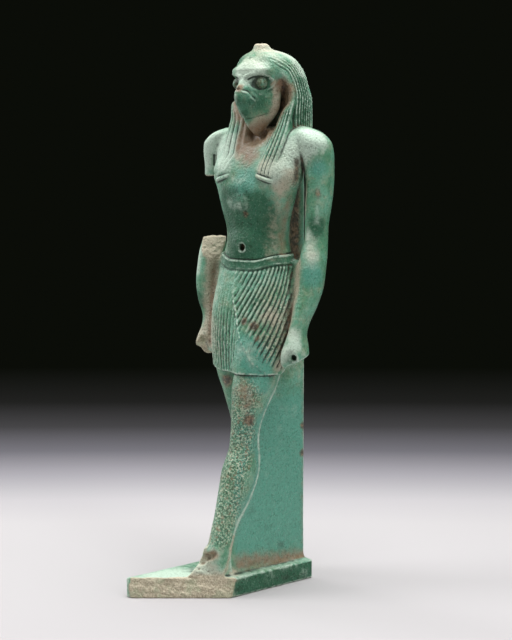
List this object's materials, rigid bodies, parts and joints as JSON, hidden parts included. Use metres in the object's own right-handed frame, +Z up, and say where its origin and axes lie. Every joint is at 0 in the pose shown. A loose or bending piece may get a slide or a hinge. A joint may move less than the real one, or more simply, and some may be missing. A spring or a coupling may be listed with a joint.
{
  "type": "striding falcon-headed figure",
  "caption": "Small glazed faience statuette of a striding falcon-headed man with a striped wig, pleated kilt, back pillar and broken low plinth.",
  "frame": {"origin": "middle of the plinth's flat underside, taken over the plinth's whole length and width", "axes": "+Z up, -Y the way the figure faces and strides, +X towards the figure's left side"},
  "size_m": [0.0362, 0.0423, 0.12],
  "materials": {
    "faience": "worn blue-green glaze with paler upward surfaces, brown dirt in the hollows and a rough cream core at the breaks"
  },
  "bodies": {
    "root": {"falcon_figure": "faience"}
  },
  "joints": []
}
